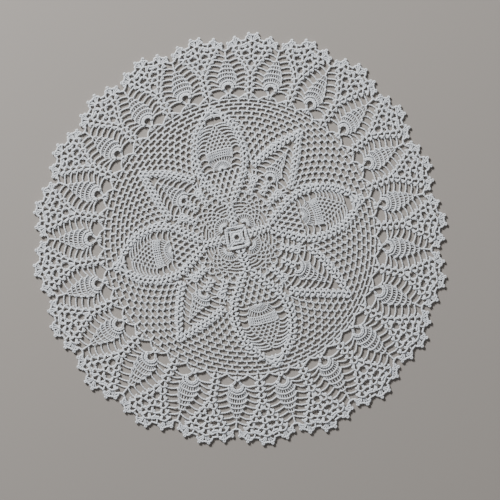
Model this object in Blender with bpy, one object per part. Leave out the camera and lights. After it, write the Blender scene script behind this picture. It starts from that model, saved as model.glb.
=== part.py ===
# Crochet tablecloth: one round sheet of cotton lace that lies flat on its underside.
#
# Sizes are in millimetres and become metres at the end. +Z is up, the cloth lies in the XY plane, and the
# origin is on the surface it rests on, under the middle of its outline. The cloth is worked from the middle
# outwards: a small square centre, a star of eight petals in an even net, and a border of 21 scallops with a
# pineapple between each two. Every place in it is given as a radius and an angle in the even pattern, and
# place() then moves it to where the hand-worked lace really lies.
import math

import bmesh
import bpy
from mathutils import Vector
from mathutils.geometry import delaunay_2d_cdt

NAME = "crochet_cloth"

# ---- the sheet
SHEET_THICK = 1.6          # thickness of the lace
COLUMN_THICK = 2.4         # where the columns of shells stand up from it
COLUMN_HALF = 4.2          # half the width of such a column

# ---- the even pattern: radii from the middle
NET_EDGE = 151.4           # the net ends and the border begins
SCALLOP_TIP = 232.6        # mean reach of the scallops
SCALLOPS = 21
BORDER_TURN = 79.47        # angle of the first border pineapple, degrees
STAR_TURN = 14.86          # angle of the first oval petal, degrees

# ---- the hand-worked unevenness: waves round the cloth
# radius, then how far the lace is drawn round there, in degrees: times round, cosine part, sine part
PULL = [
    (105.0, [(1, 4.29, -1.28)]),
    (148.7, [(1, 2.73, -1.11), (2, 0.39, 0.10), (3, 0.00, 0.20)]),
]
# radius, then how far it reaches out there: times round, cosine part, sine part
REACH = [
    (137.5, [(1, 2.40, 1.47), (2, -2.66, -1.67), (3, -0.97, -1.65)]),
    (160.2, [(1, -0.20, 1.70), (2, -0.70, 0.00), (3, -0.90, -0.70)]),
    (222.0, [(1, 1.04, -1.95), (2, -0.26, 0.60), (3, -1.65, -1.60), (4, -1.57, -1.04), (6, 0.93, -0.18)]),
]
MIDDLE_SHIFT = (-3.55, 1.55)   # the square centre lies this far from the middle of the outline

# ---- one scallop of the edge, three shells wide, from its middle to the notch
# share of the repeat, how far the edge there stays short of the tip
SCALLOP = [
    (0.000, 2.2), (0.068, 0.0), (0.125, 4.6),       # middle shell with its pair of picots
    (0.180, 7.4), (0.235, 8.2),                     # dip between two shells
    (0.300, 5.6), (0.365, 9.0), (0.430, 10.2),      # side shell with its pair of picots
    (0.472, 14.6), (0.500, 18.8),                   # down into the notch
]

# ---- one border repeat
# radius, half width of the pineapple, half width of the column of shells beside it
BORDER_WIDTHS = [
    (157.0, 4.2, 4.2),
    (164.0, 5.5, 4.2),
    (168.0, 9.0, 4.3),
    (173.0, 12.0, 4.4),
    (179.0, 11.0, 4.6),
    (185.0, 9.4, 5.2),
    (191.0, 7.6, 7.4),
    (197.0, 4.2, 10.8),
    (203.0, 1.6, 14.2),
    (209.0, 1.2, 18.0),
]
BASE_GAP = (156.8, 163.8)  # the pair of large gaps at the foot of each pineapple
# The ladders are cut at twice their pitch, so each gap here is two of the real ones.
# radius at the pineapple from and to, radius at the column from and to
LADDER = [
    (167.4, 176.8, 171.6, 182.4),
    (179.0, 189.6, 184.8, 194.6),
    (191.8, 202.2, 196.8, 206.6),
]

# ---- the net ground, cut at twice its real pitch
NET_LOOPS = 42
# middle of the row, half its height
NET_ROWS = [(141.6, 9.6), (131.3, 9.9), (120.5, 10.6), (109.2, 11.2), (97.5, 11.6), (84.8, 12.0)]
NET_BAR = 2.8
NET_CLEAR = 1.6            # cloth kept between a net gap and a column
NET_SMALLEST = 34.0        # smaller gaps than this, in square millimetres, stay closed

# ---- the petals
OVAL = (46.6, 138.4, 28.8)         # root, tip and greatest half width
OVAL_ROUND = 0.62
DIAMOND = (74.5, 132.0, 34.6, 8.0)  # root, tip, spread and how much of it bends back
OVAL_TIP_GAP = (123.0, 134.5, 6.4)  # the large gap under the tip of an oval: inner, outer, half width
OVAL_SIDE_ROWS = [100.0, 109.0]     # gaps between the pineapple of an oval and its columns
DIAMOND_TIP_GAP = (104.5, 117.5, 3.6)


def wave(table, angle):
    return sum(c * math.cos(k * angle) + s * math.sin(k * angle) for k, c, s in table)


def blend(limits, value):
    x = min(1.0, max(0.0, (value - limits[0]) / (limits[1] - limits[0])))
    return x * x * (3.0 - 2.0 * x)


def waves(rings, radius, angle, start):
    """The unevenness at a place, blended from ring to ring; start is what it is inside the first ring."""
    value = start
    inner = rings[0][0]
    for outer, table in rings:
        share = blend((inner, outer), radius) if outer > inner else 1.0
        value = (1.0 - share) * value + share * wave(table, angle)
        inner = outer
        if radius <= outer:
            break
    return value


def place(radius, angle):
    """Where a place of the even pattern lies in the real cloth, as x and y."""
    turn = angle + math.radians(waves(PULL, radius, angle, 0.0))
    inside = min(1.0, radius / REACH[0][0]) ** 1.5
    reach = radius + inside * waves(REACH, radius, angle, 0.0)
    shift = max(0.0, 1.0 - (radius / NET_EDGE) ** 2)
    return (reach * math.cos(turn) + shift * MIDDLE_SHIFT[0],
            reach * math.sin(turn) + shift * MIDDLE_SHIFT[1])


def read(table, radius, column):
    """A width from a table of widths by radius."""
    last = table[0]
    for row in table:
        if radius <= row[0]:
            if row is last:
                return row[column]
            share = (radius - last[0]) / (row[0] - last[0])
            return last[column] + share * (row[column] - last[column])
        last = row
    return last[column]


def border_axis(number):
    """Angle of border pineapple number; a half number is the middle of a scallop."""
    return math.radians(BORDER_TURN) - number * 2.0 * math.pi / SCALLOPS


def outline():
    """The scalloped edge, anticlockwise."""
    repeat = 2.0 * math.pi / SCALLOPS
    half = [(share, SCALLOP_TIP - short) for share, short in SCALLOP]
    whole = [(-share, radius) for share, radius in half[:0:-1]] + half[:-1]
    return [place(radius, border_axis(0.5) + (number + share) * repeat)
            for number in range(SCALLOPS) for share, radius in whole]


def border_gaps():
    """For each pineapple: the two gaps at its foot, then the ladder gaps up both its sides."""
    gaps = []
    for number in range(SCALLOPS):
        axis = border_axis(number)
        for side in (-1.0, 1.0):
            def inner(radius):
                return axis + side * (read(BORDER_WIDTHS, radius, 1) + 1.2) / radius

            def outer(radius):
                half = math.pi / SCALLOPS
                return axis + side * (half - (read(BORDER_WIDTHS, radius, 2) + 0.8) / radius)

            low, high = BASE_GAP
            middle = 0.5 * (low + high)
            foot = [(middle, inner(middle)), (low, inner(low) + side * 0.016), (low, outer(low) - side * 0.016),
                    (middle, outer(middle)), (high, outer(high) - side * 0.012), (high, inner(high) + side * 0.006)]
            gaps.append([place(r, a) for r, a in foot])
            for near_low, near_high, far_low, far_high in LADDER:
                ring = [(near_low, inner(near_low)), (far_low, outer(far_low)),
                        (far_high, outer(far_high)), (near_high, inner(near_high))]
                gaps.append([place(r, a) for r, a in ring])
    return gaps


def oval_half(along):
    root, tip, half = OVAL
    share = (along - root) / (tip - root)
    if share <= 0.0 or share >= 1.0:
        return 0.0
    return half * (4.0 * share * (1.0 - share)) ** OVAL_ROUND


def diamond_half(along):
    root, tip, spread, bend = DIAMOND
    share = (tip - along) / (tip - root)
    if share <= 0.0 or share > 1.15:
        return 0.0
    return spread * share - bend * share * share


def petal_point(axis, along, across):
    return place(math.hypot(along, across), axis + math.atan2(across, along))


def petals():
    """Angle of each petal and whether it is an oval."""
    for number in range(8):
        yield math.radians(STAR_TURN + 45.0 * number), number % 2 == 0


def inside_petal(radius, angle):
    """True where the net has to stay clear of a petal."""
    keep = COLUMN_HALF + NET_CLEAR
    for axis, is_oval in petals():
        along = radius * math.cos(angle - axis)
        across = abs(radius * math.sin(angle - axis))
        if along <= 0.0:
            continue
        if is_oval:
            if OVAL[0] < along < OVAL[1] and across < oval_half(along) + keep * 1.15:
                return True
            if OVAL[1] <= along < OVAL[1] + keep and across < keep:
                return True
        else:
            if DIAMOND[0] - 6.0 < along < DIAMOND[1] and across < diamond_half(along) + keep * 1.2:
                return True
            if DIAMOND[1] <= along < DIAMOND[1] + keep and across < keep:
                return True
    return False


def net_gaps():
    """Six-sided gaps of the net, each row half a loop on from the last; petals cut into those they meet."""
    gaps = []
    loop = 2.0 * math.pi / NET_LOOPS
    for row, (middle, half) in enumerate(NET_ROWS):
        reach = half - 0.75 * NET_BAR
        width = 0.5 * loop - 0.62 * NET_BAR / middle
        for number in range(NET_LOOPS):
            axis = border_axis(0.0) + (number + 0.5 * (row % 2)) * loop
            if inside_petal(middle, axis):
                continue
            spokes = [(0.0, -width), (-reach, -0.30 * width), (-reach, 0.30 * width),
                      (0.0, width), (reach, 0.30 * width), (reach, -0.30 * width)]
            shares = []
            for across, turn in spokes:
                share = 1.0
                while share > 0.0 and inside_petal(middle + share * across, axis + share * turn):
                    share -= 0.02
                shares.append(share)
            shares = [min(s, 1.7 * shares[i - 1], 1.7 * shares[(i + 1) % 6]) for i, s in enumerate(shares)]
            ring = [place(min(middle + s * across, NET_EDGE - 0.8), axis + s * turn)
                    for s, (across, turn) in zip(shares, spokes)]
            short = min(math.dist(a, b) for a, b in zip(ring, ring[1:] + ring[:1]))
            if abs(area_of(ring)) >= NET_SMALLEST and short > 1.2:
                gaps.append(ring)
    return gaps


def petal_gaps():
    """The largest gaps inside the petals: one under each tip, and two rows beside an oval's pineapple."""
    gaps = []
    for axis, is_oval in petals():
        low, high, half = OVAL_TIP_GAP if is_oval else DIAMOND_TIP_GAP
        middle = 0.5 * (low + high)
        wide = half if is_oval else half * 1.1
        ring = [(low, -half * 0.7), (middle - 1.0, -wide), (high, -1.6),
                (high, 1.6), (middle - 1.0, wide), (low, half * 0.7)]
        gaps.append([petal_point(axis, a, b) for a, b in reversed(ring)])
        if is_oval:
            for low in OVAL_SIDE_ROWS:
                high = low + 6.6
                for side in (-1.0, 1.0):
                    outer_low = oval_half(low) - COLUMN_HALF - 1.0
                    outer_high = oval_half(high) - COLUMN_HALF - 1.0
                    ring = [(low, side * (outer_low - 9.0)), (low, side * outer_low),
                            (high, side * outer_high), (high, side * (outer_high - 8.0))]
                    gaps.append([petal_point(axis, a, b) for a, b in ring])
    return gaps


def column_lines():
    """Middle lines of the columns of shells, with the half width of the ridge they make."""
    lines = []
    for axis, is_oval in petals():
        for side in (-1.0, 1.0):
            if is_oval:
                along = [54.0, 61.0, 70.0, 80.0, 90.0, 100.0, 110.0, 119.0, 127.0]
                lines.append(([(a, side * oval_half(a)) for a in along], axis, 3.4))
            else:
                along = [79.0, 88.0, 97.0, 106.0, 115.0, 123.0]
                lines.append(([(a, side * diamond_half(a)) for a in along], axis, 3.4))
        start, end = (17.0, 45.0) if is_oval else (36.0, 70.0)
        along = [start, 0.5 * (start + end), end]
        lines.append(([(a, 0.0) for a in along], axis, 3.0))
    return lines


def corner(points, index):
    """Unit vector square to a line of points at one of them."""
    before, after = points[max(0, index - 1)], points[min(len(points) - 1, index + 1)]
    along = Vector((after[0] - before[0], after[1] - before[1])).normalized()
    return -along.y, along.x


def area_of(ring):
    return 0.5 * sum(a[0] * b[1] - b[0] * a[1] for a, b in zip(ring, ring[1:] + ring[:1]))


def contains(ring, x, y):
    """True where the point lies inside the ring."""
    inside = False
    for (ax, ay), (bx, by) in zip(ring, ring[1:] + ring[:1]):
        if (ay > y) != (by > y) and x < (bx - ax) * (y - ay) / (by - ay) + ax:
            inside = not inside
    return inside


def triangles(rings, extra, extra_edges):
    """Fill the first ring less the others, through the extra points; triangles index the points."""
    points, edges = [], []
    for ring in rings:
        first = len(points)
        points += [Vector(p) for p in ring]
        edges += [(first + i, first + (i + 1) % len(ring)) for i in range(len(ring))]
    first = len(points)
    points += [Vector(p) for p in extra]
    edges += [(first + a, first + b) for a, b in extra_edges]
    out, _, faces, _, _, _ = delaunay_2d_cdt(points, edges, [], 0, 1e-4)
    if len(out) != len(points):
        raise RuntimeError("lines of the cloth cross: %d points became %d" % (len(points), len(out)))
    boxes = [(min(p[0] for p in r), max(p[0] for p in r), min(p[1] for p in r), max(p[1] for p in r))
             for r in rings]
    kept = []
    for face in faces:
        x = sum(out[i].x for i in face) / 3.0
        y = sum(out[i].y for i in face) / 3.0
        if not contains(rings[0], x, y):
            continue
        in_gap = any(b[0] < x < b[1] and b[2] < y < b[3] and contains(r, x, y)
                     for r, b in zip(rings[1:], boxes[1:]))
        if not in_gap:
            kept.append(tuple(face))
    return points, kept


def ridges():
    """Points and edges of the raised columns: a middle line between two lines at sheet height."""
    points, heights, edges = [], [], []
    for line, axis, half in column_lines():
        for offset, height in ((-half, SHEET_THICK), (0.0, COLUMN_THICK), (half, SHEET_THICK)):
            first = len(points)
            for index, (along, across) in enumerate(line):
                nx, ny = corner(line, index)
                points.append(petal_point(axis, along + offset * nx, across + offset * ny))
                heights.append(height)
            edges += [(first + i, first + i + 1) for i in range(len(line) - 1)]
    for number in range(SCALLOPS):
        axis = border_axis(number + 0.5)
        first = len(points)
        reach = [155.0, 163.0, 171.0, 180.0, 190.0, 200.0, 210.0, 220.0]
        for radius in reach:
            points.append(place(radius, axis))
            heights.append(COLUMN_THICK)
        edges += [(first + i, first + i + 1) for i in range(len(reach) - 1)]
        points.append(place(173.0, border_axis(number)))
        heights.append(COLUMN_THICK)
    return points, heights, edges


def build_sheet():
    rings = [outline()] + border_gaps() + net_gaps() + petal_gaps()
    rings = [r if (area_of(r) > 0) == (i == 0) else r[::-1] for i, r in enumerate(rings)]
    ridge_points, ridge_heights, ridge_edges = ridges()
    top_points, top_faces = triangles(rings, ridge_points, ridge_edges)
    base_points, base_faces = triangles(rings, [], [])
    edge_count = len(base_points)
    heights = [SHEET_THICK] * edge_count + ridge_heights

    mesh = bmesh.new()
    top = [mesh.verts.new((p.x / 1000.0, p.y / 1000.0, h / 1000.0)) for p, h in zip(top_points, heights)]
    base = [mesh.verts.new((p.x / 1000.0, p.y / 1000.0, 0.0)) for p in base_points]

    def facing(points, face):
        a, b, c = (points[i] for i in face)
        return (b.x - a.x) * (c.y - a.y) - (b.y - a.y) * (c.x - a.x) > 0.0

    for face in top_faces:
        order = face if facing(top_points, face) else face[::-1]
        mesh.faces.new([top[i] for i in order])
    for face in base_faces:
        order = face if not facing(base_points, face) else face[::-1]
        mesh.faces.new([base[i] for i in order])
    first = 0
    for ring in rings:
        count = len(ring)
        for i in range(count):
            a, b = first + i, first + (i + 1) % count
            mesh.faces.new((base[a], base[b], top[b]))
            mesh.faces.new((base[a], top[b], top[a]))
        first += count
    mesh.normal_update()
    data = bpy.data.meshes.new(NAME)
    mesh.to_mesh(data)
    mesh.free()
    print(len(rings) - 1, "gaps,", len(data.polygons), "triangles")
    return data


def cotton():
    material = bpy.data.materials.new("white crochet cotton")
    material.use_nodes = True
    shader = material.node_tree.nodes["Principled BSDF"]
    shader.inputs["Base Color"].default_value = (0.72, 0.73, 0.75, 1.0)
    shader.inputs["Roughness"].default_value = 0.85
    return material


def main():
    for old in list(bpy.data.objects):
        bpy.data.objects.remove(old)
    collection = bpy.data.collections.new("crochet_tablecloth")
    bpy.context.scene.collection.children.link(collection)
    cloth = bpy.data.objects.new(NAME, build_sheet())
    cloth.data.materials.append(cotton())
    collection.objects.link(cloth)
    print("size mm", [round(v * 1000.0, 1) for v in cloth.dimensions])


main()
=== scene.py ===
# %% [markdown]
# # A round crochet tablecloth, worked stitch by stitch
#
# The real thing is a lace cloth of white cotton, crocheted in rounds from the middle: a small square centre,
# a star of eight petals in an even net, and a border of 21 scallops. A picture of lace on a flat disc would
# look right only from above, so here every stitch is a real thread. Python works out where each one runs,
# and one Geometry Nodes tree turns the lines into cotton.

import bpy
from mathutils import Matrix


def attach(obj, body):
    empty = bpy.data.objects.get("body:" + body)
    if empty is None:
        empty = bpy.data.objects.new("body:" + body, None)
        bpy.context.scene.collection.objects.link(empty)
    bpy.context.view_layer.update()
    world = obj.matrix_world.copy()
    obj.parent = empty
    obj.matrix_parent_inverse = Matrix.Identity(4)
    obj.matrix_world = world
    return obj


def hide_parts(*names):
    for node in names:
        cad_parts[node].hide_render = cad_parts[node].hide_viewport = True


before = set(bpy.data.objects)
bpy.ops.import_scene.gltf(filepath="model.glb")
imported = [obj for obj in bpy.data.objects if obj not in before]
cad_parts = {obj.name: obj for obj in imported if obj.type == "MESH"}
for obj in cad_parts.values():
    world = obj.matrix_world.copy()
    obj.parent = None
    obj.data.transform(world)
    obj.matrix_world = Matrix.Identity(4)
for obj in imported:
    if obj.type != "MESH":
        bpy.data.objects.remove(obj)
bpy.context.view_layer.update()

# %% [markdown]
# ## Where the rounds lie
#
# Crochet grows in rounds, so radius and angle are its natural measures, and a square grid would need a new
# rule for every stitch. The rounds of the net sit closer together towards the edge, where the cloth was
# pulled less as it dried. Lengths are in millimetres.

# %% Sizes of the pattern
import random
from math import atan2, cos, dist, hypot, pi, radians, sin

import bpy
from mathutils import Vector

NET_ROUNDS = [65.6, 71.9, 78.3, 84.8, 91.2, 97.5, 103.4, 109.2, 114.9, 120.5, 125.9, 131.2, 136.4, 141.4,
              146.3, 151.4]
NET_LOOPS = 84
SCALLOPS = 21
BORDER_TURN = 79.47  # angle of the first border pineapple, degrees
STAR_TURN = 14.86  # angle of the first oval petal, degrees
REPEAT = 2.0 * pi / SCALLOPS
QUARTER = pi / 2.0
SIDES = (-1.0, 1.0)  # the two halves of a figure that is its own mirror image
print(len(NET_ROUNDS), "net rounds of", NET_LOOPS, "loops, and", SCALLOPS, "scallops")

# %% [markdown]
# ## Handwork is never quite even
#
# The real cloth was pulled and turned a little as it dried. Noise on each point would tear the stitches
# apart, so the whole chart goes through one bending function, which adds slow waves to the angle and the
# radius. All threads go through it, so they still meet.

# %% Bending the even pattern
# radius, then how far the lace is drawn round there, in degrees: times round, cosine part, sine part
PULL = [
    (105.0, [(1, 4.29, -1.28)]),
    (148.7, [(1, 2.73, -1.11), (2, 0.39, 0.10), (3, 0.00, 0.20)]),
]
# the same for how far it reaches out there, in millimetres
REACH = [
    (137.5, [(1, 2.40, 1.47), (2, -2.66, -1.67), (3, -0.97, -1.65)]),
    (160.2, [(1, -0.20, 1.70), (2, -0.70, 0.00), (3, -0.90, -0.70)]),
    (222.0, [(1, 1.04, -1.95), (2, -0.26, 0.60), (3, -1.65, -1.60), (4, -1.57, -1.04), (6, 0.93, -0.18)]),
]
REACH_EASE = 1.5  # how fast that dies away towards the middle
MIDDLE_SHIFT = (-3.55, 1.55)  # where the middle lies, from the centre of the outline


def smooth(low, high, value):
    x = min(1.0, max(0.0, (value - low) / (high - low)))
    return x * x * (3.0 - 2.0 * x)


def waves(rings, radius, angle):
    """The waves of the rings on both sides of a radius, blended."""
    value, inner = 0.0, rings[0][0]
    for outer, terms in rings:
        share = smooth(inner, outer, radius) if outer > inner else 1.0
        here = sum(c * cos(k * angle) + s * sin(k * angle) for k, c, s in terms)
        value = (1.0 - share) * value + share * here
        inner = outer
        if radius <= outer:
            break
    return value


def place(radius, angle):
    """Where a place of the even pattern lies in the real cloth, in millimetres."""
    turn = angle + radians(waves(PULL, radius, angle))
    inside = min(1.0, radius / REACH[0][0]) ** REACH_EASE
    reach = radius + inside * waves(REACH, radius, angle)
    shift = max(0.0, 1.0 - (radius / NET_ROUNDS[-1]) ** 2)
    return (reach * cos(turn) + shift * MIDDLE_SHIFT[0],
            reach * sin(turn) + shift * MIDDLE_SHIFT[1])


print("the middle lies at", [round(v, 2) for v in place(0.0, 0.0)], "mm")

# %% [markdown]
# ## A chart that collects threads
#
# In the real cloth one thread makes everything. Following it would be hard to read, so each part gets a
# chart: a list of strands, each a line of points with a thickness. A chart turns its own two measures into a
# place, so one border repeat serves all 21. A seeded generator moves each point a little, as a hand does.

# %% The chart
CHAIN = 0.94  # half the width of a row of chain stitches, in millimetres
CHAIN_HEIGHT = 0.85  # how high its middle lies
POST_RISE = 0.15  # how far the middle of a treble rises above its ends
KNOT = 1.15  # half the width of the knot where loops meet
WANDER = 0.16  # how far a stitch strays
HELD = 0.4  # share of that where a thread is caught
UPWARD = 1.2  # share of it up and down
LOWEST = (0.92, 0.05)  # lowest height of a thread's middle: half widths, and this much more


class Chart:
    """The strands of one piece. spot turns a place of the chart into a place in the cloth."""

    def __init__(self, name, seed, spot=None):
        self.name = name
        self.random = random.Random(seed)
        self.strands = []
        self.spot = spot

    def strand(self, points, half, beat, wander=WANDER):
        """points are (out, across, height); beat is how strongly the stitches swell."""
        line = []
        last = len(points) - 1
        for index, (out, across, height) in enumerate(points):
            x, y = self.spot(out, across)
            loose = wander if 0 < index < last else HELD * wander
            line.append((x + self.random.gauss(0.0, loose), y + self.random.gauss(0.0, loose),
                         max(LOWEST[0] * half + LOWEST[1], height + self.random.gauss(0.0, UPWARD * loose))))
        self.strands.append((line, half, beat))

    def chain(self, points, half=CHAIN, height=CHAIN_HEIGHT):
        self.strand([(p[0], p[1], p[2] if len(p) > 2 else height) for p in points], half, 1.0)

    def post(self, foot, head, half, bow=0.0, low=0.8, high=1.1):
        out = 0.5 * (foot[0] + head[0])
        across = 0.5 * (foot[1] + head[1])
        dx, dy = head[0] - foot[0], head[1] - foot[1]
        middle = (out - bow * dy, across + bow * dx, 0.5 * (low + high) + POST_RISE)
        self.strand([(*foot, low), middle, (*head, high)], half, 0.0, 0.5 * WANDER)

    def knot(self, out, across, half=KNOT, size=1.0):
        self.strand([(out - size, across, 0.9), (out, across, 1.6), (out + size, across, 0.9)], half, 0.0,
                    HELD * WANDER)


def mirrored(row, centre):
    """A row that is its own mirror image, from one half of it and its middle."""
    return [(along, -side) for along, side in row] + [centre] + row[::-1]


def flip(points, side):
    return [(out, side * across) for out, across in points]


def polar(reach, angle, centre=(0.0, 0.0)):
    return centre[0] + reach * cos(angle), centre[1] + reach * sin(angle)


print("a chain is", 2.0 * CHAIN, "mm wide")

# %% [markdown]
# ## The shell
#
# Most of this cloth is one small figure: two trebles, two chains, two more trebles, all worked into the
# space below. From above it is a V with a small dark hole. One mesh placed many times would always have the
# same size, so a function fits it between its foot and its hole.

# %% One shell
SHELL_HALF = 4.7  # half the width of a shell
SHELL_POST = 0.98  # half the width of its trebles
ARCH = 2.5  # how far above its hole the last stitches lie
# the row over the heads: how far above the hole, and to the side as a share of the half width
OVER = mirrored([(-2.1, 1.0), (-1.0, 0.90), (0.8, 0.66), (1.7, 0.38)], (ARCH, 0.0))


def towards(a, b):
    """How far it is from a to b, and the way there."""
    dx, dy = b[0] - a[0], b[1] - a[1]
    length = hypot(dx, dy)
    return length, (dx / length, dy / length)


def beside(origin, way, along, side):
    """A place some way along a direction and to the side of it."""
    return origin[0] + along * way[0] - side * way[1], origin[1] + along * way[1] + side * way[0]


def shell(chart, base, hole, half, each=2, gap=0.0):
    """Trebles that fan out from above base, each of them a side, and the row over their heads.

    gap is 0 for a tight shell and 1 for one that was drawn wide open."""
    length, way = towards(base, hole)
    for side in SIDES:
        for number in range(each):
            out = (number + 0.5) / each
            foot_side = 0.75 + 0.35 * gap + out
            head_side = half * (0.41 + 0.60 * out + 0.09 * gap)
            chart.post(beside(hole, way, ARCH - length + 0.6 * out, side * foot_side),
                       beside(hole, way, 1.1 - 1.9 * out * out, side * head_side),
                       SHELL_POST - 0.06 * gap, -0.08 * side, 0.8, 1.6)
    chart.chain([(*beside(hole, way, along, side * half), 2.1 - abs(side)) for along, side in OVER], 0.90)


def column(chart, line, half=SHELL_HALF, gap=0.0):
    """Shells one above the other along a line of hole places."""
    for base, hole in zip(line, line[1:]):
        shell(chart, base, hole, half, 2, gap)


print("a shell is", 2.0 * SHELL_HALF, "mm wide")

# %% [markdown]
# ## Rows of loops
#
# Loops of chain are each caught in the middle of the loop below, so each row sits half a loop on from the
# last. Where a petal is in the way a loop is cut short in the chart, which is cleaner than cutting the
# finished mesh.

# %% One loop
SHORTEST = 6  # a loop with fewer points left than this is left out


def cut_short(points, keep):
    """The longest stretch of a line that keep allows, or nothing where too little is left."""
    fine = []
    for a, b in zip(points, points[1:]):
        fine += [(a[0] + t * (b[0] - a[0]) / 3.0, a[1] + t * (b[1] - a[1]) / 3.0) for t in range(3)]
    fine.append(points[-1])
    run, longest = [], []
    for point in fine:
        run = run + [point] if keep(*point) else []
        longest = max(longest, run, key=len)
    if len(longest) < SHORTEST:
        return []
    if len(longest) == len(fine):
        return points
    return longest[::2] + ([] if len(longest) % 2 else [longest[-1]])


def loop(chart, low, high, middle, width, half, keep=None, slant=0.06):
    """A loop of chain from low to high, its ends half a width each side of the middle."""
    rise = [(0.10, 0.50), (0.50, 0.49 - 0.5 * slant), (0.86, 0.46 - slant), (1.0, 0.38 - slant)]
    points = [(low + share * (high - low), middle + side * width)
              for share, side in mirrored(rise, (1.03, 0.0))]
    if keep is not None:
        points = cut_short(points, keep)
    if points:
        chart.chain(points, half)
    return bool(points)


def rows(rounds):
    """The number, the foot and the top of each row of loops."""
    return [(row, rounds[row - 1], rounds[row]) for row in range(1, len(rounds))]


print("a loop has 9 points, or fewer where it is cut short")

# %% [markdown]
# ## The petals
#
# The star has four ovals and four diamonds, each a pair of columns of shells round a pineapple. Their lines
# could be drawn by hand, but a formula gives both sides at once, and it also tells the net where to stop.

# %% The lines of the petals
OVAL = (46.6, 138.4, 28.8)  # root, tip and greatest half width of the round part
OVAL_FOOT = (37.0, 57.0, 0.68)  # where its columns part, where the round part takes over, slope
OVAL_ROUND = 0.62  # 0.5 makes an ellipse, and more makes it more pointed
DIAMOND = (74.5, 132.0, 34.6, 8.0)  # root, tip, spread and how much of it bends back
DIAMOND_FOOT = 67.5  # where the net has to leave room for it
# the angle of each petal, and whether it is an oval
PETALS = [(radians(STAR_TURN + 45.0 * number), number % 2 == 0) for number in range(8)]
BESIDE_OVAL, BESIDE_DIAMOND = 1.1, 1.15  # shares of the room that the net leaves beside each


def oval_half(along):
    root, tip, half = OVAL
    start, end, slope = OVAL_FOOT
    if start < along < end:
        return oval_half(end) - slope * (end - along)
    share = (along - root) / (tip - root)
    return half * (4.0 * share * (1.0 - share)) ** OVAL_ROUND if 0.0 < share < 1.0 else 0.0


def diamond_half(along):
    root, tip, spread, bend = DIAMOND
    share = (tip - along) / (tip - root)
    return spread * share - bend * share * share if 0.0 < share <= 1.2 else 0.0


def petal_spot(axis):
    """Places in a petal, measured along its middle line and across it."""
    return lambda along, across: place(hypot(along, across), axis + atan2(across, along))


def in_petal(radius, angle, room):
    """True where the even net would run into a petal."""
    for axis, is_oval in PETALS:
        along = radius * cos(angle - axis)
        across = abs(radius * sin(angle - axis))
        if is_oval:
            start, tip, half = OVAL_FOOT[0], OVAL[1], oval_half(along) + room * BESIDE_OVAL
        else:
            start, tip, half = DIAMOND_FOOT, DIAMOND[1], diamond_half(along) + room * BESIDE_DIAMOND
        if start < along < tip + room and across < max(room, half):
            return True
    return False


def spaced(points, step):
    """The same line with points an even step apart."""
    out, left = [points[0]], step
    for a, b in zip(points, points[1:]):
        length = dist(a, b)
        done = 0.0
        while length - done >= left:
            done += left
            share = done / length
            out.append((a[0] + share * (b[0] - a[0]), a[1] + share * (b[1] - a[1])))
            left = step
        left -= length - done
    return out


print("an oval is", 2 * OVAL[2], "mm wide, and a diamond", round(2 * diamond_half(DIAMOND[0]), 1), "mm")

# %% [markdown]
# ## The net
#
# The net fills everything between the petals and the border. Each patch could be charted by itself, but the
# real rounds run on behind every petal, so whole rounds are charted and cut short at the petals.

# %% Charting the net
NET_HALF = 0.76  # half the width of a chain in the net
NET_KNOT = 1.05
ROOM = 2.6  # how close to a petal's line a loop may come
NEAR = 6.0  # closer than this, a loop is looked at point by point


def beside_petals(radius, angle):
    return not in_petal(radius, angle, ROOM)


net = Chart("net_ground", 11, place)
turn = 2.0 * pi / NET_LOOPS
loops = 0
for row, low, high in rows(NET_ROUNDS):
    slant = 0.18 - 0.16 * smooth(85.0, 140.0, high)
    for number in range(NET_LOOPS):
        axis = radians(BORDER_TURN) + (number + 0.5 * (row % 2)) * turn
        near = any(in_petal(high, axis + k * turn, NEAR) for k in (-0.5, 0.0, 0.5))
        if loop(net, low, high, axis, turn, NET_HALF, beside_petals if near else None, slant):
            loops += 1
            if not near:
                net.knot(high, axis, NET_KNOT, 0.8)
print(loops, "loops in the net")

# %% [markdown]
# ## The middle
#
# The work began with a ring of chain. Round it stand twenty trebles, longer towards four corners, and two
# bars of chain lie along each side of that square. A column of shells runs from each side to an oval, and
# two short chains lead from each corner to a small pineapple. A cut square would show no stitches, so it is
# a round whose radius swells four times.

# %% Charting the middle
SQUARE_TURN = radians(42.5)
INNER_ROUNDS = [11.0, 15.8, 20.6, 25.8, 31.0, 36.2]
# one bar of chain: how far it strays outwards, and where along it
BAR = [(0.0, -10.9), (0.2, -5.0), (0.0, 0.0), (0.1, 5.0), (-0.2, 10.5)]
# how far out each bar lies, and its height
BARS = [(10.3, 1.7), (11.6, 2.0)]


def squared(radius, angle, corners):
    """The reach of a round that is pushed out towards the corners of the square."""
    return radius * (1.0 + corners * cos(4.0 * (angle - SQUARE_TURN)))


def ring(chart, radius, half, height, count, corners=0.0, centre=(0.0, 0.0), wander=0.05):
    """A closed round of stitches. It runs on past its start, so that no gap shows."""
    points = []
    for number in range(count + 2):
        angle = 2.0 * pi * number / count
        points.append((*polar(squared(radius, angle, corners), angle, centre), height))
    chart.strand(points, half, 1.0, wander)


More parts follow.
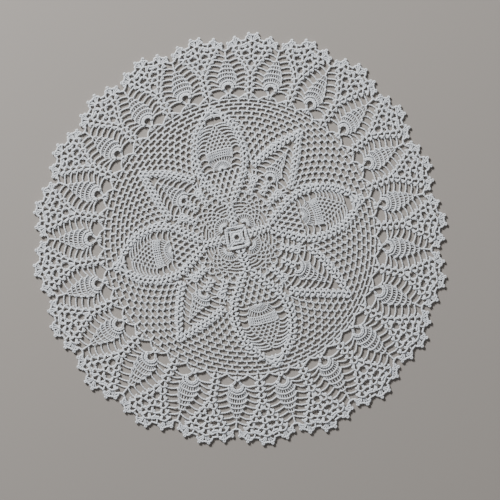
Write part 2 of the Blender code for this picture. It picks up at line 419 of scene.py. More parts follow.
star = radians(STAR_TURN)
middle = Chart("middle", 12, petal_spot(star))
ring(middle, 3.9, 1.1, 1.6, 14)
for number in range(20):
    angle = 2.0 * pi * number / 20
    middle.post(polar(4.0, angle), polar(squared(6.8, angle, 0.12), angle), 0.95, 0.0, 1.3, 1.1)
ring(middle, 7.2, 1.0, 1.3, 28, 0.14)
for quarter in range(4):
    corner = star + SQUARE_TURN + quarter * QUARTER
    middle.spot = petal_spot(corner + 0.5 * QUARTER)
    for reach, height in BARS:
        middle.chain([(reach + out, across) for out, across in BAR], 1.05, height)
    middle.spot = petal_spot(corner)
    for side in SIDES:
        middle.chain(flip([(8.2, 0.8), (11.0, 0.9), (15.2, 1.2)], side), 0.9)
for quarter in range(4):
    middle.spot = petal_spot(star + quarter * QUARTER)
    column(middle, [(radius, 0.0) for radius in INNER_ROUNDS])
print(len(middle.strands), "strands round the ring")

# %% [markdown]
# ## The small pineapples
#
# Each of the four starts as a crescent round a hole, with trebles like rays. Then come rows of loops, one
# fewer in each. Ladders of chain join both sides to the columns, and loose loops fill the rounds beyond.
# Such parts come back in the petals in other sizes, so each is a function and not a copied mesh.

# %% A close row, bars, a fan, a narrowing mesh and a rung


def arc(row, turn):
    """A place on a row that drops towards its ends. A row is (height, half width, drop)."""
    height, half, drop = row
    return height - drop * (1.0 - cos(turn)), half * sin(turn)


def bow_row(chart, row, thick, top=1.15):
    """A close row of stitches."""
    turns = [pi * (number / 10.0 - 0.5) for number in range(11)]
    chart.strand([(*arc(row, turn), top) for turn in turns], thick, 1.0)


def bars(chart, low, high, count, half, lift=0.0):
    """Trebles that stand between two such rows."""
    for number in range(count):
        share = -1.0 + 2.0 * (number + 0.5) / count
        turn = 0.5 * pi * share * 0.92
        chart.post(arc(low, turn), arc(high, turn), half, 0.02 * share, 0.75 + lift, 0.95 + lift)


def fan(chart, centre, inner, outer, count, half=0.46):
    """A crescent round a hole, trebles like rays, and the row of stitches over their heads."""
    def at(reach, angle):
        return centre + reach * cos(angle), 1.06 * reach * sin(angle)

    spread = radians(82.0)
    for number in range(count):
        angle = spread * (-1.0 + 2.0 * (number + 0.5) / count)
        chart.post(at(inner, angle), at(outer - 0.2, angle), half, 0.0, 1.3, 1.3)
    for reach, thick, top in ((0.54 * inner, 1.05, 1.5), (0.84 * inner, 1.0, 1.3), (outer, 0.70, 1.1)):
        turns = [spread * 1.08 * (number / 7.0 - 1.0) for number in range(15)]
        chart.strand([(*at(reach, turn), top) for turn in turns], thick, 1.0, 0.08)


def mesh_rows(chart, low, pitch, halves, drop):
    """Rows of loops, one fewer in each; gives back where each row ends."""
    ends = []
    for row, half in enumerate(halves):
        base, count = low + row * pitch, len(halves) - row
        width = 2.0 * half / count
        for number in range(count):
            across = (number - 0.5 * (count - 1)) * width
            sag = drop * (across / halves[0]) ** 2
            loop(chart, base - sag, base + pitch - sag, across, width, 0.58)
        ends.append((base + 0.55 * pitch - drop * (half / halves[0]) ** 2, half + 0.3))
    return ends


def rung(chart, a, b, lift, half=0.8):
    """One rung of a ladder: a chain from a to b that bows outwards by lift."""
    points = []
    for share in (0.0, 0.22, 0.5, 0.78, 1.0):
        bow = lift * 4.0 * share * (1.0 - share)
        points.append((a[0] + share * (b[0] - a[0]) + bow, a[1] + share * (b[1] - a[1])))
    chart.chain(points, half)


# %% Charting the small pineapples
SMALL_FAN = (17.0, 6.0, 11.2, 11, 0.42)  # centre, inner and outer reach, trebles, their half width
SMALL_START = 28.6  # where its rows of loops start
SMALL_MESH = [11.8, 10.8, 8.8, 6.2, 3.0]  # half width of each of those rows
SMALL_PITCH = 3.4
SMALL_DROP = 5.0
SMALL_SIDE = 10.4  # half its width below them
COLUMN_SIDE = 3.4  # half the room that a column of shells takes
RUNG_END = 4.2  # how far from a column's line a rung ends
LOOSE_ROUNDS = [38.2, 43.8, 49.6]
LOOSE_LOOPS = 36


def between_pineapples(radius, angle):
    """True where a loose loop meets no small pineapple, column or petal."""
    turned = (angle - star) % QUARTER
    if radius * sin(min(turned, QUARTER - turned)) < COLUMN_SIDE:
        return False
    out, across = radius * cos(turned - 0.5 * QUARTER), abs(radius * sin(turned - 0.5 * QUARTER))
    row = (out + SMALL_DROP * (across / SMALL_MESH[0]) ** 2 - SMALL_START) / SMALL_PITCH
    if row < len(SMALL_MESH) and across < (SMALL_MESH[int(row)] if row > 0.0 else SMALL_SIDE) - 0.4:
        return False
    return beside_petals(radius, angle)


for quarter in range(4):
    middle.spot = petal_spot(star + (quarter + 0.5) * QUARTER)
    fan(middle, *SMALL_FAN)
    ends = mesh_rows(middle, SMALL_START, SMALL_PITCH, SMALL_MESH, SMALL_DROP)
    for side in SIDES:
        for out, across in [(22.4, SMALL_SIDE)] + ends[:4]:
            reach = hypot(out, across) - 0.8
            edge = max(RUNG_END, oval_half(reach) + RUNG_END) if reach > OVAL_FOOT[0] else RUNG_END
            far = polar(reach, 0.5 * QUARTER - edge / reach)
            rung(middle, *flip([(out, across), far], side), 1.2, 0.60)
middle.spot = place
turn = 2.0 * pi / LOOSE_LOOPS
for row, low, high in rows(LOOSE_ROUNDS):
    for number in range(LOOSE_LOOPS):
        axis = star + (number + 0.5 * (row % 2)) * turn
        loop(middle, low, high, axis, turn, 0.66, between_pineapples, 0.13)
print(len(middle.strands), "strands in the middle")

# %% [markdown]
# ## The ovals
#
# An oval is two columns of shells that part near the middle and meet at the tip. Between them lie a piece of
# net, a fan, a row of bars, three close rows and a mesh that narrows, with rungs to the columns. One mesh
# turned four times would be shorter, but the bend of the cloth would stop at its edges.

# %% Charting the ovals
PETAL_STEP = 5.6  # from shell to shell along a petal's column
OVAL_START, OVAL_END = 41.8, 133.0
FOOT_NET = [43.8, 49.2, 55.2, 61.4, 67.6, 73.4]
FOOT_PITCH = 6.9
# height, half width and drop of the rows below and above the bars
UNDER_BARS, OVER_BARS = (85.0, 9.8, 9.0), (89.0, 14.2, 5.6)
# the same for each close row
OVAL_BAND = [(89.8, 14.4, 4.0), (92.4, 15.0, 3.2), (95.0, 15.5, 2.6)]
MESH_START = 97.6
# half width of each row of loops above them
OVAL_MESH = [15.4, 14.8, 12.8, 10.0, 7.0, 4.2, 1.9]
# where more rungs start: below the mesh, and above it
OVAL_RUNGS = [(77.2, 9.8), (83.0, 12.2), (89.4, 15.0)]
OVAL_LAST_RUNG = (124.8, 0.6)


def petal_line(half_at, start, end, side):
    """Places for the shells of one side of a petal."""
    fine = [start + (end - start) * number / 60.0 for number in range(61)]
    return spaced([(along, side * half_at(along)) for along in fine], PETAL_STEP)


def draw_oval(chart, axis):
    chart.spot = petal_spot(axis)
    for side in SIDES:
        line = petal_line(oval_half, OVAL_START, OVAL_END, side)
        column(chart, [(37.4, side * 0.8)] + line + [(137.4, side * 3.0)])
    shell(chart, (134.4, 0.0), (139.6, 0.0), 4.4)
    shell(chart, (139.6, 0.0), (144.4, 0.0), 4.0)

    def inside(along, across):
        return abs(across) < oval_half(along) - 3.2

    for row, low, high in rows(FOOT_NET):
        for number in range(-4, 5):
            across = (number + 0.5 * (row % 2)) * FOOT_PITCH
            loop(chart, low, high, across, FOOT_PITCH, 0.84, inside, 0.14)
    fan(chart, 75.2, 4.4, 9.8, 13)
    bars(chart, UNDER_BARS, OVER_BARS, 12, 0.48)
    for top, half, drop in OVAL_BAND:
        bow_row(chart, (top, half, drop), 0.66, 1.0)
        bars(chart, (top + 0.2, half, drop), (top + 2.4, half + 0.2, drop), 17, 0.60, 0.5)
    bow_row(chart, (MESH_START, 15.6, 2.2), 0.72)
    ends = mesh_rows(chart, MESH_START, 3.7, OVAL_MESH, 2.4)
    for side in SIDES:
        for out, across in OVAL_RUNGS + ends + [OVAL_LAST_RUNG]:
            far = out - 3.4 + 0.12 * across
            rung(chart, (out, side * across), (far, side * (oval_half(far) - RUNG_END)), 2.0, 0.78)


print("the mesh of an oval has", len(OVAL_MESH), "rows")

# %% [markdown]
# ## The diamonds
#
# A diamond is two straighter columns that meet in a point, round a solid pineapple: a crescent round a hole,
# then six rounds of close trebles. The border has the same one. Charting it for a size and a waist, and not
# scaling a mesh, keeps the thread as thick as everywhere else.

# %% Charting the solid pineapple and the diamonds
# crescents round the hole: reach, half width of the thread, spread to each side
CRESCENTS = [(4.3, 1.1, 1.95), (5.8, 1.0, 1.8)]
# rounds of a solid pineapple, measured from the hole in its foot: top, half width, drop of the ends
BODY_ROUNDS = [(8.7, 9.0, 6.8), (13.9, 11.4, 6.4), (19.1, 10.6, 4.6), (24.3, 8.4, 3.2), (29.5, 5.8, 2.2),
               (34.6, 3.0, 1.2)]
WAIST_START = 15.0  # the rounds above this are narrowed by the waist
# where each rung of a diamond starts, and how far from the middle line
DIAMOND_RUNGS = [(74.6, 7.4), (81.0, 9.8), (87.4, 8.6), (93.6, 6.2), (99.6, 4.0), (105.4, 1.6), (111.4, 0.0)]


def pineapple_body(chart, hole, size, waist=1.0):
    for reach, thick, spread in CRESCENTS:
        points = []
        for number in range(13):
            angle = spread * (number / 6.0 - 1.0)
            points.append((hole + size * reach * cos(angle), size * 1.12 * reach * sin(angle), 1.7))
        chart.strand(points, thick, 1.0, 0.08)
    low, low_half, low_drop = 6.2, 6.4, 4.8
    for top, half, drop in BODY_ROUNDS:
        if top > WAIST_START:
            half *= waist
        bars(chart, (hole + size * low, size * low_half, size * low_drop),
             (hole + size * (top - 0.5), size * (half - 0.3), size * drop), max(3, round(size * half)), 0.54)
        bow_row(chart, (hole + size * top, size * half, size * drop), 0.84, 1.5)
        low, low_half, low_drop = top, half - 0.7, drop


def draw_diamond(chart, axis):
    chart.spot = petal_spot(axis)
    for side in SIDES:
        column(chart, petal_line(diamond_half, 72.6, 130.6, side), 4.3)
        for out, across in DIAMOND_RUNGS:
            far = out - 3.4
            rung(chart, (out, side * across), (far, side * (diamond_half(far) - 4.0)), 1.4)
    shell(chart, (127.6, 0.0), (133.4, 0.0), 4.4)
    for side in SIDES:
        chart.chain(flip([(69.4, 3.2), (71.4, 2.8), (72.6, 3.8)], side), 0.9)
    pineapple_body(chart, 73.0, 0.94, 0.70)
    chart.chain([(104.6, 0.0), (108.2, 0.2), (111.8, 0.0)], 0.9)


stars = [Chart("star_1", 13), Chart("star_2", 14)]
for number, (axis, is_oval) in enumerate(PETALS):
    draw = draw_oval if is_oval else draw_diamond
    draw(stars[number // 4], axis)
print([len(chart.strands) for chart in stars], "strands in the petals")

# %% [markdown]
# ## Between the feet of the petals
#
# Below each diamond a short column of shells stands on its middle line. On both sides another leads to a
# medallion, a small disc of trebles round a hole, and ladders join them all. The rungs could be measured,
# but worked out from the lines of the columns they still fit when a petal changes.

# %% Short columns and medallions
FOOT_ROUNDS = [51.0, 56.4, 61.8, 67.4]
FOOT_HALF = 4.0
MEDALLION_ROUNDS = [45.6, 51.2, 56.4, 61.6, 66.4]  # the last is the middle of the medallion
MEDALLION_TURN = radians(14.4)
LADDER_ROUNDS = [49.8, 55.8, 61.8, 67.8]
# rungs that hold a medallion: where each starts and ends
HOLDERS = [((68.0, 17.8), (74.4, 20.0)), ((66.4, 20.2), (71.6, 25.4)), ((67.6, 13.8), (73.8, 8.2))]


def medallion(chart, centre):
    """A small disc of trebles round a hole."""
    for number in range(14):
        angle = 2.0 * pi * number / 14
        chart.post(polar(1.3, angle, centre), polar(3.9, angle, centre), 0.75)
    for reach in (1.7, 4.0):
        ring(chart, reach, 0.8, 1.3, 12, 0.0, centre, 0.04)


def draw_feet(chart, side):
    """The column, the medallion and the ladders on one side of a diamond's foot."""
    line = flip([polar(radius, MEDALLION_TURN) for radius in MEDALLION_ROUNDS], side)
    column(chart, line[:-1], FOOT_HALF)
    medallion(chart, line[-1])
    for holder in HOLDERS:
        rung(chart, *flip(holder, side), 0.6)
    for radius in LADDER_ROUNDS:
        inner = [polar(radius, 3.4 / radius), polar(radius, MEDALLION_TURN - 3.4 / radius)]
        rung(chart, *flip(inner, side), 1.4)
        edge = 0.5 * QUARTER - atan2(oval_half(radius), radius) - 4.6 / radius
        if edge * radius > MEDALLION_TURN * radius + 4.4:
            outer = [polar(radius, MEDALLION_TURN + 3.6 / radius), polar(radius + 0.6, edge)]
            rung(chart, *flip(outer, side), 1.2)


for quarter in range(4):
    chart = stars[quarter // 2]
    chart.spot = petal_spot(star + (quarter + 0.5) * QUARTER)
    column(chart, [(radius, 0.0) for radius in FOOT_ROUNDS], FOOT_HALF)
    for side in SIDES:
        draw_feet(chart, side)
print([len(chart.strands) for chart in stars], "strands with their feet")

# %% [markdown]
# ## The border pineapples
#
# A border pineapple has a small shell and a V of trebles for a stem, the solid body of a diamond, and a
# single chain from its tip to the notch between two scallops. Seven rungs a side join it to the columns. The
# cloth isn't a true circle, so each repeat is bent to fit and isn't an instance.

# %% Charting the border pineapples
# radius, half width of the column of shells beside the pineapple
COLUMN_HALVES = [(157.0, 4.4), (179.0, 4.8), (185.0, 5.4), (191.0, 7.8), (197.0, 11.4), (203.0, 15.0),
                 (209.0, 19.6)]
# where each rung starts, how far from the middle line, and where it ends at the column
RUNGS = [(167.4, 8.4, 171.4), (172.8, 11.2, 177.6), (179.6, 10.6, 183.8), (186.4, 8.6, 190.0),
         (192.4, 6.2, 196.2), (198.6, 3.4, 202.2), (204.4, 0.8, 208.2)]
# the shape of a rung: share of its rise, share of its way across
RUNG_SHAPE = [(0.0, 0.0), (0.48, 0.26), (0.84, 0.56), (1.00, 0.82)]
# the trebles of the V: foot, head and how much they bow
STEM = [([(157.4, 0.5), (163.6, 3.4)], 0.04), ([(157.6, 1.2), (163.0, 5.0)], 0.06)]


def column_half(radius):
    """Half the width of the column there, read between two rows of the list."""
    for (near, narrow), (far, wide) in zip(COLUMN_HALVES, COLUMN_HALVES[1:]):
        if radius <= far:
            break
    return narrow + (radius - near) / (far - near) * (wide - narrow)


def border_spot(number):
    """Places near one border axis, as radius and millimetres round from it."""
    axis = radians(BORDER_TURN) - number * REPEAT
    return lambda radius, round_from: place(radius, axis + round_from / radius)


def half_repeat(radius):
    return 0.5 * REPEAT * radius


def draw_pineapple(chart):
    shell(chart, (151.6, 0.0), (156.7, 0.0), 3.8)
    stem = half_repeat(157.0)
    for side in SIDES:
        chart.chain(flip([(158.4, stem - 3.4), (155.4, stem - 7.4), (152.4, 11.6), (151.2, 11.0)], side))
        chart.chain(flip([(151.2, 11.2), (152.6, 10.4), (155.6, 7.0), (157.0, 3.2)], side))
        chart.knot(151.8, side * 11.1)
        for treble, bow in STEM:
            chart.post(*flip(treble, side), 0.74, -bow * side)
        chart.chain(flip([(163.2, 5.4), (165.2, 8.6), (165.9, 12.0), (165.6, 16.0),
                          (164.8, half_repeat(164.8) - 3.8)], side))
    pineapple_body(chart, 165.6, 1.0)
    chart.chain([(201.0, 0.0), (205.0, 0.25), (209.4, -0.2), (213.6, 0.0)])
    for side in SIDES:
        for near, near_half, far in RUNGS:
            start = side * near_half
            end = side * (half_repeat(far) - column_half(far) + 0.6)
            chart.chain([(near + rise * (far - near), start + over * (end - start))
                         for rise, over in RUNG_SHAPE] + [(far, end)], 0.80)


def round_the_border(draw, shift=0.0):
    """Charts one figure at each repeat, a third of them in each chart."""
    for number in range(SCALLOPS):
        chart = borders[number // (SCALLOPS // 3)]
        chart.spot = border_spot(number + shift)
        draw(chart)
    print([len(chart.strands) for chart in borders], "strands after", draw.__name__)


borders = [Chart("border_" + str(third + 1), 15 + third) for third in range(3)]
round_the_border(draw_pineapple)

# %% [markdown]
# ## The border columns
#
# Between the pineapples a column of shells rises from the net. After five rounds it splits into two arms,
# and a third row of shells between them makes the scallop. The arms follow no simple curve, so their shells
# are placed one by one in a short list.

# %% Charting the border columns
COLUMN_ROUNDS = [156.7 + 6.68 * row for row in range(5)]
# the side arm of a scallop: radius, how far from the middle, half width and trebles on each side
ARM = [(190.1, 4.0, 4.0, 2), (196.8, 7.6, 4.4, 2), (202.6, 11.6, 4.6, 2), (208.9, 15.4, 5.2, 2),
       (214.9, 18.6, 6.2, 3)]
# chains that link the arm to the shells between: radius and distance from the middle
LINKS = [[(205.4, 4.2), (204.6, 6.0), (204.0, 8.0)], [(213.2, 5.0), (211.8, 8.4), (210.6, 11.0)],
         [(217.0, 6.4), (216.0, 9.4), (215.4, 12.8)], [(220.6, 6.2), (218.4, 9.6), (217.2, 13.2)]]
# short posts between the links, the same way
TIES = [[(212.2, 7.4), (216.4, 8.6)], [(218.0, 12.2), (222.8, 14.0)]]
# the chain between the two arms, where the third row starts
BRIDGE = mirrored([(198.4, 4.2), (200.0, 1.8)], (200.4, 0.0))
# the shells on the middle line: radius, half width and trebles on each side
HEAD = [(204.8, 4.6, 2), (212.1, 5.6, 2), (219.6, 6.8, 3)]


def draw_column(chart):
    column(chart, [(150.4, 0.0)] + [(radius, 0.0) for radius in COLUMN_ROUNDS], 5.2, 1.0)
    for side in SIDES:
        before = (COLUMN_ROUNDS[-1], side * 0.6)
        for radius, across, half, each in ARM:
            shell(chart, before, (radius, side * across), half, each, 1.0)
            before = (radius, side * across)
        for link in LINKS:
            chart.chain(flip(link, side), 1.12, 1.4)
    chart.chain(BRIDGE)
    for side in SIDES:
        for tie in TIES:
            chart.post(*flip(tie, side), 0.95, 0.0, 1.1, 1.5)
    before = (198.6, 0.0)
    for radius, half, each in HEAD:
        shell(chart, before, (radius, 0.0), half, each, 1.0)
        before = (radius, 0.0)


round_the_border(draw_column, 0.5)

# %% [markdown]
# ## The picot edge
#
# The last round puts a wide shell on each of the three, and each carries two picots: tiny rings of chain
# that stand out like beads. A round bead on each point would be quicker, but it would have no hole and no
# turn of the thread.

# %% Charting the edge
# the row over an edge shell: how far above its top, and to the side as a share of its half width
EDGE_TOP = mirrored([(-4.6, 1.02), (-2.2, 0.98), (-0.2, 0.66), (0.5, 0.3)], (-0.2, 0.0))
# the heads of its trebles: how far to the side, as a share, and above the top
EDGE_POSTS = [(0.34, 0.0), (0.64, -0.7), (0.92, -2.4)]
EDGE_CHAIN = 1.05  # half the width of the thick chains of the edge
PICOT_LEAN = 0.35  # how much a picot leans away from the middle of its shell
# the chain between two edge shells, and the one that ends in the notch
EDGE_LINK = [(223.6, 7.6), (222.6, 12.0), (222.8, 16.2), (224.0, 18.4)]
NOTCH = half_repeat(214.0)
NOTCH_CHAIN = [(217.4, NOTCH - 6.4), (214.2, NOTCH - 4.0), (212.2, NOTCH)]


def picot(chart, at, out, across):
    """A tiny ring of chain that starts at a stitch and stands out from the edge."""
    way = towards((0.0, 0.0), (out, across))[1]
    points = []
    for number in range(7):
        angle = radians(-150.0 + 50.0 * number)
        points.append((*beside(at, way, 1.5 + 1.1 * cos(angle), 1.05 * sin(angle)), 1.3))
    chart.strand(points, 0.86, 1.0, 0.08)


def edge_shell(chart, base, top, half):
    """Six trebles in a fan, a row of stitches over them and two picots."""
    length, way = towards(base, top)
    for share, along in EDGE_POSTS:
        for side in SIDES:
            chart.post(beside(top, way, ARCH - length, (0.5 + 1.3 * share) * side),
                       beside(top, way, along - 0.3, side * share * half), 0.80, -0.10 * side)
    chart.chain([beside(top, way, along, side * half) for along, side in EDGE_TOP], EDGE_CHAIN)
    for side in SIDES:
        picot(chart, beside(top, way, 0.2, 0.60 * half * side),
              way[0] - PICOT_LEAN * side * way[1], way[1] + PICOT_LEAN * side * way[0])


def draw_edge(chart):
    edge_shell(chart, (219.6, 0.0), (228.8, 0.0), 7.8)
    for side in SIDES:
        edge_shell(chart, (214.9, side * 18.6), (222.4, side * 24.4), 7.4)
        chart.chain(flip(EDGE_LINK, side), EDGE_CHAIN)
        chart.chain(flip(NOTCH_CHAIN, side), 1.0)


round_the_border(draw_edge, 0.5)

# %% [markdown]
# ## From lines to cotton
#
# Now the lines become thread. A curve with a bevel could do it, but it can't swell at each stitch. The
# Geometry Nodes tree takes a mesh that is nothing but edges, turns it into smooth curves with evenly spaced
# points and sweeps a small profile along them. The profile is lower than it is wide, because a chain lies
# flat, and it swells once per stitch, which gives the beaded look.

# %% Building a tree of nodes


def new_tree(name, kind, inputs, outputs):
    """A tree with named inputs and outputs, the sockets of its inputs, and its output node."""
    tree = bpy.data.node_groups.new(name, kind)
    for way, sockets in (("INPUT", inputs), ("OUTPUT", outputs)):
        for label, socket_kind, *value in sockets:
            socket = tree.interface.new_socket(label, in_out=way, socket_type="NodeSocket" + socket_kind)
            if value:
                socket.default_value = value[0]
    return tree, tree.nodes.new("NodeGroupInput").outputs, tree.nodes.new("NodeGroupOutput")


def feed(tree, node, values):
    """Links each input that is named to a socket, or sets it to a value."""
    for name, value in values.items():
        if isinstance(value, bpy.types.NodeSocket):
            tree.links.new(value, node.inputs[name])
        else:
            node.inputs[name].default_value = value


def add(tree, kind, values=None, **settings):
    node = tree.nodes.new(kind)
    for name, value in settings.items():
        setattr(node, name, value)
    feed(tree, node, values or {})
    return node


def flow(tree, value, kind, others=None, **settings):
    """Sends a geometry or a value through one more node."""
    return add(tree, kind, {0: value, **(others or {})}, **settings).outputs[0]


def maths(tree, operation, a, b=None, clamp=False):
    others = {} if b is None else {1: b}
    return flow(tree, a, "ShaderNodeMath", others, operation=operation, use_clamp=clamp)


# %% Worked thread: smooth lines with even points, their up side up
STITCH = 0.0029  # length of one chain stitch, in metres
SWELL = 0.42  # how much a chain swells within a stitch, as a share of its width
SWELL_MEAN = 0.64  # the mean of the sine, which is taken off again

tree, given, result = new_tree(
    "worked thread", "GeometryNodeTree",
    [("Geometry", "Geometry"), ("Step", "Float", 0.0008), ("Stitch", "Float", STITCH),
     ("Swell", "Float", SWELL), ("Flatness", "Float", 0.8), ("Drift", "Float", 0.0004),
     ("Drift size", "Float", 60.0), ("Sides", "Int", 6), ("Material", "Material")],
    [("Geometry", "Geometry")])
worked_thread = tree
inputs = {item.name: item.identifier for item in tree.interface.items_tree if item.in_out == "INPUT"}
line = flow(tree, given["Geometry"], "GeometryNodeMeshToCurve")
line = flow(tree, line, "GeometryNodeCurveSplineType", spline_type="CATMULL_ROM")
line = flow(tree, line, "GeometryNodeResampleCurve", {"Length": given["Step"]}, mode="LENGTH")
line = flow(tree, line, "GeometryNodeSetCurveNormal", mode="Z_UP")
print("inputs of the tree:", ", ".join(inputs))

# %% Worked thread: a slow drift to the side, the same for threads that touch
spot = add(tree, "GeometryNodeInputPosition").outputs[0]
noise = add(tree, "ShaderNodeTexNoise", {"Vector": spot, "Scale": given["Drift size"], "Detail": 1.0})
drift = noise.outputs["Color"]
drift = flow(tree, drift, "ShaderNodeVectorMath", {1: (0.5, 0.5, 0.5)}, operation="SUBTRACT")
drift = flow(tree, drift, "ShaderNodeVectorMath", {1: (2.0, 2.0, 0.0)}, operation="MULTIPLY")
drift = flow(tree, drift, "ShaderNodeVectorMath", {"Scale": given["Drift"]}, operation="SCALE")
line = flow(tree, line, "GeometryNodeSetPosition", {"Offset": drift})
print(len(tree.nodes), "nodes up to the drift")

# %% Worked thread: the profile, and the two attributes that the twist of the cotton follows
along = add(tree, "GeometryNodeSplineParameter").outputs["Length"]
line = flow(tree, line, "GeometryNodeStoreNamedAttribute", {"Name": "thread_along", "Value": along})
circle = add(tree, "GeometryNodeCurvePrimitiveCircle", {"Resolution": given["Sides"], "Radius": 1.0})
rim = add(tree, "GeometryNodeInputPosition").outputs[0]
profile = flow(tree, circle.outputs["Curve"], "GeometryNodeStoreNamedAttribute",
               {"Name": "thread_side", "Value": rim}, data_type="FLOAT_VECTOR")
scale = add(tree, "ShaderNodeCombineXYZ", {"X": 1.0, "Y": given["Flatness"], "Z": 1.0}).outputs[0]
profile = flow(tree, profile, "GeometryNodeTransform", {"Scale": scale})
print(len(tree.nodes), "nodes up to the profile")

# %% Worked thread: the swelling, the sweep and the cotton
half = add(tree, "GeometryNodeInputNamedAttribute", {"Name": "half"}).outputs["Attribute"]
beat = add(tree, "GeometryNodeInputNamedAttribute", {"Name": "beat"}).outputs["Attribute"]
turns = maths(tree, "DIVIDE", maths(tree, "MULTIPLY", along, pi), given["Stitch"])
swell = maths(tree, "SUBTRACT", maths(tree, "ABSOLUTE", maths(tree, "SINE", turns)), SWELL_MEAN)
swell = maths(tree, "MULTIPLY", maths(tree, "MULTIPLY", swell, given["Swell"]), beat)
size = maths(tree, "MULTIPLY", half, maths(tree, "ADD", swell, 1.0))
thread = flow(tree, line, "GeometryNodeCurveToMesh",
              {"Profile Curve": profile, "Scale": size, "Fill Caps": True})
thread = flow(tree, thread, "GeometryNodeSetShadeSmooth")
thread = flow(tree, thread, "GeometryNodeRealizeInstances")
thread = flow(tree, thread, "GeometryNodeSetMaterial", {"Material": given["Material"]})
feed(tree, result, {"Geometry": thread})
print(len(tree.nodes), "nodes in all")

# %% [markdown]
# ## White cotton
#
# Crochet cotton is a few plies twisted together. The twist has to follow each thread, which a pattern on
# ordinary coordinates can't do. The tree stored how far along the thread a point is, and on which side, and
# the twist is a sine of both, so it has no seam. As a shader group it can serve another yarn.

# %% The twist as a shader group
tree, given, result = new_tree(
    "ply twist", "ShaderNodeTree",
    [("Side", "Vector"), ("Along", "Float", 0.0), ("Plies", "Float", 3.0), ("Pitch", "Float", 0.0021)],
    [("Ridge", "Float"), ("Groove", "Float")])
ply_twist = tree
split = add(tree, "ShaderNodeSeparateXYZ", {0: given["Side"]}).outputs
around = maths(tree, "ARCTAN2", split["Y"], split["X"])
turn = maths(tree, "MULTIPLY", around, given["Plies"])
run = maths(tree, "DIVIDE", maths(tree, "MULTIPLY", given["Along"], 2.0 * pi), given["Pitch"])
ridge = maths(tree, "ABSOLUTE", maths(tree, "SINE", maths(tree, "ADD", turn, run)))
# groove is 1 in the grooves between the plies, a mask that only paints shade into the colour
groove_shade = maths(tree, "SUBTRACT", 1.0, maths(tree, "POWER", ridge, 0.5), True)
feed(tree, result, {"Ridge": ridge, "Groove": groove_shade})
print("the twist gives", [s.name for s in tree.interface.items_tree if s.in_out == "OUTPUT"])

# %% [markdown]
# ## Fibres, age and painted shade
#
# Cotton has a soft fuzz, which real fibres would show best, but at a cost of millions of hairs, so a very
# fine noise gives it as a bump. A used cloth is also not one white: some stretches of thread are a little
# greyer. The grooves between the plies are painted greyer too, as painted shade where less light reaches.

# %% The fibre group
FUZZ_SIZE, WEAR_SIZE = 5200.0, 34.0

# Shade is the greyer colour: worn stretches take some of it, and the ply grooves take it as painted shade
tree, given, result = new_tree(
    "cotton fibre", "ShaderNodeTree",
    [("Place", "Vector"), ("White", "Color", (0.83, 0.84, 0.85, 1.0)),
     ("Shade", "Color", (0.66, 0.67, 0.70, 1.0)), ("Groove", "Float", 0.0)],
    [("Color", "Color"), ("Fuzz", "Float"), ("Roughness", "Float")])
cotton_fibre = tree
fuzz = flow(tree, given["Place"], "ShaderNodeTexNoise", {"Scale": FUZZ_SIZE, "Detail": 3.0})
wear = flow(tree, given["Place"], "ShaderNodeTexNoise", {"Scale": WEAR_SIZE, "Detail": 4.0})
# greyer in worn stretches, which is the thread's own colour, and in the ply grooves, which is painted shade
wear_and_groove_shade = maths(tree, "ADD", maths(tree, "MULTIPLY", wear, 0.55),
             maths(tree, "MULTIPLY", given["Groove"], 0.5), True)
mix = add(tree, "ShaderNodeMix", {"Factor": wear_and_groove_shade}, data_type="RGBA")
feed(tree, mix, {"A": given["White"], "B": given["Shade"]})
rough = maths(tree, "ADD", maths(tree, "MULTIPLY", fuzz, 0.22), 0.62)
feed(tree, result, {"Color": mix.outputs["Result"], "Fuzz": fuzz, "Roughness": rough})
print("the fibre gives", [s.name for s in tree.interface.items_tree if s.in_out == "OUTPUT"])

# %% The material
FUZZ_HEIGHT = 0.5  # height of the fuzz as a share of a ply's
TWIST_DEPTH = 0.00018  # height of a ply in the bump, in metres

cotton = bpy.data.materials.new("white crochet cotton")
cotton.use_nodes = True
tree = cotton.node_tree
side = add(tree, "ShaderNodeAttribute", attribute_name="thread_side").outputs["Vector"]
along = add(tree, "ShaderNodeAttribute", attribute_name="thread_along").outputs["Fac"]
spot = add(tree, "ShaderNodeTexCoord").outputs["Object"]
twist = add(tree, "ShaderNodeGroup", {"Side": side, "Along": along}, node_tree=ply_twist).outputs
# the grooves of the twist reach the colour here, as painted shade
fibre = add(tree, "ShaderNodeGroup", {"Place": spot, "Groove": twist["Groove"]},
            node_tree=cotton_fibre).outputs
height = maths(tree, "ADD", twist["Ridge"], maths(tree, "MULTIPLY", fibre["Fuzz"], FUZZ_HEIGHT))
bump = add(tree, "ShaderNodeBump", {"Strength": 0.7, "Distance": TWIST_DEPTH, "Height": height})
feed(tree, tree.nodes["Principled BSDF"],
     {"Base Color": fibre["Color"], "Roughness": fibre["Roughness"], "Normal": bump.outputs["Normal"],
      "Sheen Weight": 0.25, "Sheen Roughness": 0.5, "Specular IOR Level": 0.35})
print("material:", cotton.name)

# %% [markdown]
# ## Making the pieces
#
# Each chart becomes a mesh of bare edges, with the half width and the beat of each strand as attributes. The
# modifier's inputs are set by their identifiers, and the evaluated result is kept as a plain mesh. One step
# for all would double the triangles or lose the beads, so chains and trebles go through the tree apart and
# are joined afterwards.

# %% From a chart to a piece
MM = 1000.0  # millimetres in a metre
# kind of strand, its beat, step in metres, sides of the profile
KINDS = [("chains", 1.0, 0.00074, 6), ("posts", 0.0, 0.0016, 5)]


def linked(thing):
    bpy.context.scene.collection.objects.link(thing)
    return thing


def edge_mesh(name, strands):
    points, edges, halves, beats = [], [], [], []
    for line, half, beat in strands:
        first = len(points)
        points += [(x / MM, y / MM, z / MM) for x, y, z in line]
        edges += [(first + i, first + i + 1) for i in range(len(line) - 1)]
        halves += [half / MM] * len(line)
        beats += [beat] * len(line)
    mesh = bpy.data.meshes.new(name)
    mesh.from_pydata(points, edges, [])
    for label, values in (("half", halves), ("beat", beats)):
        mesh.attributes.new(label, "FLOAT", "POINT").data.foreach_set("value", values)
    return mesh


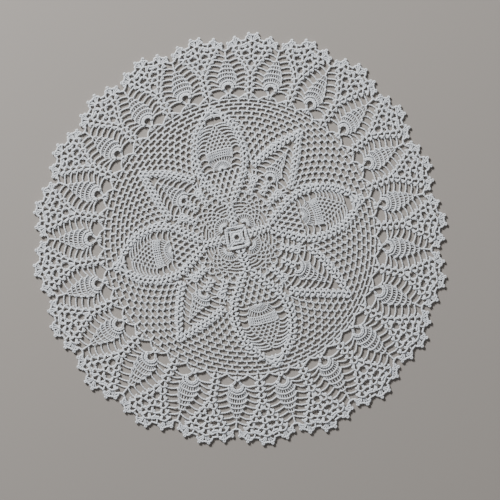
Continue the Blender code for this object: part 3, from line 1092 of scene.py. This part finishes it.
def swept(name, strands, step, sides):
    """The strands as a plain mesh of cotton."""
    source = linked(bpy.data.objects.new(name, edge_mesh(name, strands)))
    modifier = source.modifiers.new("worked thread", "NODES")
    modifier.node_group = worked_thread
    for label, value in (("Step", step), ("Sides", sides), ("Material", cotton)):
        modifier[inputs[label]] = value
    graph = bpy.context.evaluated_depsgraph_get()
    mesh = bpy.data.meshes.new_from_object(source.evaluated_get(graph), depsgraph=graph)
    bpy.data.objects.remove(source)
    return mesh


def piece(chart):
    """One object for a chart, its chains and its trebles joined."""
    made = []
    for kind, beat, step, sides in KINDS:
        strands = [strand for strand in chart.strands if strand[2] == beat]
        mesh = swept(chart.name + "_" + kind, strands, step, sides)
        made.append(linked(bpy.data.objects.new(chart.name, mesh)))
    with bpy.context.temp_override(active_object=made[0], selected_editable_objects=made):
        bpy.ops.object.join()
    whole = made[0]
    whole.name = whole.data.name = chart.name
    whole.data.calc_loop_triangles()
    print(chart.name, len(chart.strands), "strands,", len(whole.data.loop_triangles), "triangles")
    return whole


cloth = [piece(chart) for chart in (middle, *stars, net, *borders)]
print(sum(len(part.data.loop_triangles) for part in cloth), "triangles in all")

# %% [markdown]
# ## Handing the pieces over
#
# The pieces replace the plain sheet of the CAD model and ride on its body. One mesh would be far too large,
# so the star is made in halves and the border in thirds.

for part in cloth:
    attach(part, "root")
    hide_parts("crochet_cloth")

# %% [markdown]
# ## Floor, light and camera
#
# White lace on a white floor would vanish, so the floor is a light warm grey, too large for its edge to
# show. A cool lamp stands low to the upper left, like a window, so that its slanting light rounds the
# threads, and a weak one fills in. The camera looks straight down through a long lens, so that the cloth
# stays round.

# %% The room
FLOOR_REACH = 8.0
FLOOR_DROP = 0.0002  # the floor lies this far below the cloth, in metres
LAMP_COLOUR = (0.94, 0.97, 1.0)
# name, place, watts and width of each lamp
LAMPS = [("window light", (-1.6, 2.2, 1.4), 215.0, 0.55), ("fill light", (1.4, -1.2, 1.8), 5.0, 1.6)]

floor_mesh = bpy.data.meshes.new("floor")
corners = [(-1, -1), (1, -1), (1, 1), (-1, 1)]
floor_mesh.from_pydata([(x * FLOOR_REACH, y * FLOOR_REACH, 0.0) for x, y in corners], [], [(0, 1, 2, 3)])
floor = linked(bpy.data.objects.new("floor", floor_mesh))
floor.location.z = -FLOOR_DROP
paper = bpy.data.materials.new("plain floor")
paper.use_nodes = True
feed(paper.node_tree, paper.node_tree.nodes["Principled BSDF"],
     {"Base Color": (0.33, 0.295, 0.262, 1.0), "Roughness": 0.9})
floor_mesh.materials.append(paper)

world = bpy.data.worlds.new("room")
world.use_nodes = True
feed(world.node_tree, world.node_tree.nodes["Background"],
     {"Color": (0.93, 0.95, 1.0, 1.0), "Strength": 0.14})
bpy.context.scene.world = world

for name, spot, watts, width in LAMPS:
    light = bpy.data.lights.new(name, "AREA")
    light.energy = watts
    light.color = LAMP_COLOUR
    light.size = width
    lamp = linked(bpy.data.objects.new(name, light))
    lamp.location = spot
    lamp.rotation_euler = (-Vector(spot)).to_track_quat("-Z", "Y").to_euler()
print(len(LAMPS), "lamps and a floor", 2.0 * FLOOR_REACH, "m wide")

# %% The camera
VIEW_WIDTH = 0.555  # width of the floor in the picture, in metres
CAMERA_HEIGHT = 1.5
CAMERA_OVER = (0.0109, -0.0122)

camera_data = bpy.data.cameras.new("camera")
camera_data.lens = camera_data.sensor_width * CAMERA_HEIGHT / VIEW_WIDTH
camera = linked(bpy.data.objects.new("camera", camera_data))
camera.location = (*CAMERA_OVER, CAMERA_HEIGHT)
bpy.context.scene.camera = camera
print("lens", round(camera_data.lens, 1), "mm")
